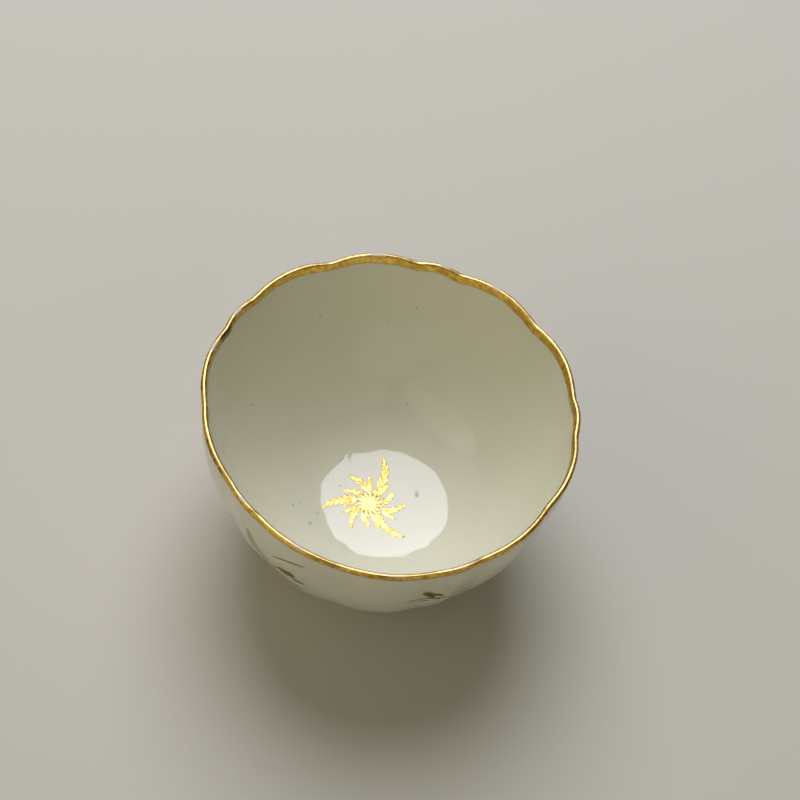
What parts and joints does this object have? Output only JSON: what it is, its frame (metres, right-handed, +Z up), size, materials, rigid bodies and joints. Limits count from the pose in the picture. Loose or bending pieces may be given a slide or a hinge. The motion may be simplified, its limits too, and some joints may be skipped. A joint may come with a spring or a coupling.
{
  "type": "tea bowl",
  "caption": "Small handleless porcelain drinking bowl with a fluted wall, scalloped gilt rim, low foot ring and a gilt flower inside.",
  "frame": {"origin": "centre of the foot ring's underside, on the surface that the bowl stands on", "axes": "+Z up along the bowl's axis, -Y towards the side nearest the viewer in the picture, +X to the viewer's right"},
  "size_m": [0.0841, 0.0843, 0.0491],
  "materials": {
    "glazed_porcelain": "gloss",
    "gilding": "satin"
  },
  "bodies": {
    "root": {"tea_bowl": "glazed_porcelain"}
  },
  "joints": []
}
